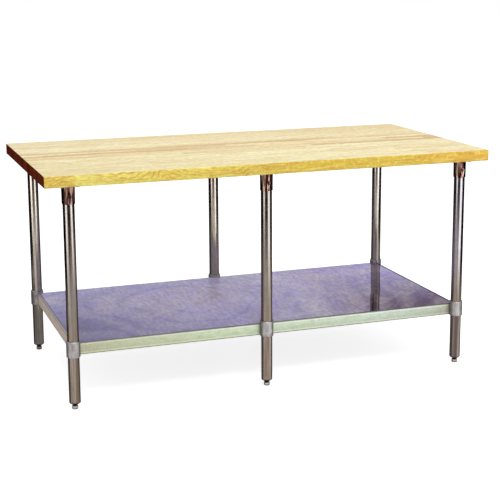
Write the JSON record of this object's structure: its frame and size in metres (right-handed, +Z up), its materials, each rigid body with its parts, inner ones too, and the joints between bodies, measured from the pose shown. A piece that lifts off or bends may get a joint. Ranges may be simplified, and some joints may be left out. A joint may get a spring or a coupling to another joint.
{
  "type": "butcher block table",
  "caption": "Laminated maple work table on tubular steel legs with screwed sockets, levelling feet and a height-adjustable folded steel undershelf.",
  "frame": {"origin": "on the floor under the centre of the table top", "axes": "+X along the table's length, +Y from its front to its back, +Z up"},
  "size_m": [1.8288, 0.9144, 0.9144],
  "materials": {
    "maple": "oiled, glued staves",
    "shelf_sheet": "smooth sheet with a lavender film on its top",
    "galvanised_sheet": "galvanised",
    "socket_casting": "polished casting",
    "collar_casting": "satin casting",
    "leg_tube": "polished tube",
    "leg_plug": "dull",
    "foot_metal": "satin",
    "screw_steel": "black oxide"
  },
  "bodies": {
    "frame": {"butcher_block_top": "maple", "cross_channel_left": "galvanised_sheet", "cross_channel_center": "galvanised_sheet", "cross_channel_right": "galvanised_sheet", "leg_socket_front_left": "socket_casting", "leg_front_left": "leg_tube", "leg_insert_front_left": "leg_plug", "leg_socket_front_center": "socket_casting", "leg_front_center": "leg_tube", "leg_insert_front_center": "leg_plug", "leg_socket_front_right": "socket_casting", "leg_front_right": "leg_tube", "leg_insert_front_right": "leg_plug", "leg_socket_back_right": "socket_casting", "leg_back_right": "leg_tube", "leg_insert_back_right": "leg_plug", "leg_socket_back_center": "socket_casting", "leg_back_center": "leg_tube", "leg_insert_back_center": "leg_plug", "leg_socket_back_left": "socket_casting", "leg_back_left": "leg_tube", "leg_insert_back_left": "leg_plug"},
    "shelf": {"undershelf": "shelf_sheet", "shelf_stiffener": "galvanised_sheet", "shelf_collar_front_left": "collar_casting", "shelf_collar_front_center": "collar_casting", "shelf_collar_front_right": "collar_casting", "shelf_collar_back_right": "collar_casting", "shelf_collar_back_center": "collar_casting", "shelf_collar_back_left": "collar_casting"},
    "foot_front_left": {"bullet_foot_front_left": "foot_metal"},
    "foot_front_center": {"bullet_foot_front_center": "foot_metal"},
    "foot_front_right": {"bullet_foot_front_right": "foot_metal"},
    "foot_back_right": {"bullet_foot_back_right": "foot_metal"},
    "foot_back_center": {"bullet_foot_back_center": "foot_metal"},
    "foot_back_left": {"bullet_foot_back_left": "foot_metal"},
    "socket_screw_front_left": {"socket_set_screw_front_left": "screw_steel"},
    "socket_screw_front_center": {"socket_set_screw_front_center": "screw_steel"},
    "socket_screw_front_right": {"socket_set_screw_front_right": "screw_steel"},
    "socket_screw_back_right": {"socket_set_screw_back_right": "screw_steel"},
    "socket_screw_back_center": {"socket_set_screw_back_center": "screw_steel"},
    "socket_screw_back_left": {"socket_set_screw_back_left": "screw_steel"},
    "collar_screw_front_left": {"collar_set_screw_front_left": "screw_steel"},
    "collar_screw_front_center": {"collar_set_screw_front_center": "screw_steel"},
    "collar_screw_front_right": {"collar_set_screw_front_right": "screw_steel"},
    "collar_screw_back_right": {"collar_set_screw_back_right": "screw_steel"},
    "collar_screw_back_center": {"collar_set_screw_back_center": "screw_steel"},
    "collar_screw_back_left": {"collar_set_screw_back_left": "screw_steel"}
  },
  "joints": [
    {"name": "shelf_height", "type": "slide", "parent": "frame", "child": "shelf", "axis": [0, 0, 1], "range_m": [-0.15, 0.5]},
    {"name": "foot_level_front_left", "type": "slide", "parent": "frame", "child": "foot_front_left", "axis": [0, 0, -1], "range_m": [0, 0.025]},
    {"name": "foot_level_front_center", "type": "slide", "parent": "frame", "child": "foot_front_center", "axis": [0, 0, -1], "range_m": [0, 0.025]},
    {"name": "foot_level_front_right", "type": "slide", "parent": "frame", "child": "foot_front_right", "axis": [0, 0, -1], "range_m": [0, 0.025]},
    {"name": "foot_level_back_right", "type": "slide", "parent": "frame", "child": "foot_back_right", "axis": [0, 0, -1], "range_m": [0, 0.025]},
    {"name": "foot_level_back_center", "type": "slide", "parent": "frame", "child": "foot_back_center", "axis": [0, 0, -1], "range_m": [0, 0.025]},
    {"name": "foot_level_back_left", "type": "slide", "parent": "frame", "child": "foot_back_left", "axis": [0, 0, -1], "range_m": [0, 0.025]},
    {"name": "socket_screw_travel_front_left", "type": "slide", "parent": "frame", "child": "socket_screw_front_left", "axis": [0, -1, 0], "range_m": [0, 0.005]},
    {"name": "socket_screw_travel_front_center", "type": "slide", "parent": "frame", "child": "socket_screw_front_center", "axis": [0, -1, 0], "range_m": [0, 0.005]},
    {"name": "socket_screw_travel_front_right", "type": "slide", "parent": "frame", "child": "socket_screw_front_right", "axis": [0, -1, 0], "range_m": [0, 0.005]},
    {"name": "socket_screw_travel_back_right", "type": "slide", "parent": "frame", "child": "socket_screw_back_right", "axis": [0, 1, 0], "range_m": [0, 0.005]},
    {"name": "socket_screw_travel_back_center", "type": "slide", "parent": "frame", "child": "socket_screw_back_center", "axis": [0, 1, 0], "range_m": [0, 0.005]},
    {"name": "socket_screw_travel_back_left", "type": "slide", "parent": "frame", "child": "socket_screw_back_left", "axis": [0, 1, 0], "range_m": [0, 0.005]},
    {"name": "collar_screw_travel_front_left", "type": "slide", "parent": "shelf", "child": "collar_screw_front_left", "axis": [0.7071, 0.7071, 0], "range_m": [0, 0.005]},
    {"name": "collar_screw_travel_front_center", "type": "slide", "parent": "shelf", "child": "collar_screw_front_center", "axis": [0, 1, 0], "range_m": [0, 0.005]},
    {"name": "collar_screw_travel_front_right", "type": "slide", "parent": "shelf", "child": "collar_screw_front_right", "axis": [-0.7071, 0.7071, 0], "range_m": [0, 0.005]},
    {"name": "collar_screw_travel_back_right", "type": "slide", "parent": "shelf", "child": "collar_screw_back_right", "axis": [-0.7071, -0.7071, 0], "range_m": [0, 0.005]},
    {"name": "collar_screw_travel_back_center", "type": "slide", "parent": "shelf", "child": "collar_screw_back_center", "axis": [0, -1, 0], "range_m": [0, 0.005]},
    {"name": "collar_screw_travel_back_left", "type": "slide", "parent": "shelf", "child": "collar_screw_back_left", "axis": [0.7071, -0.7071, 0], "range_m": [0, 0.005]}
  ]
}
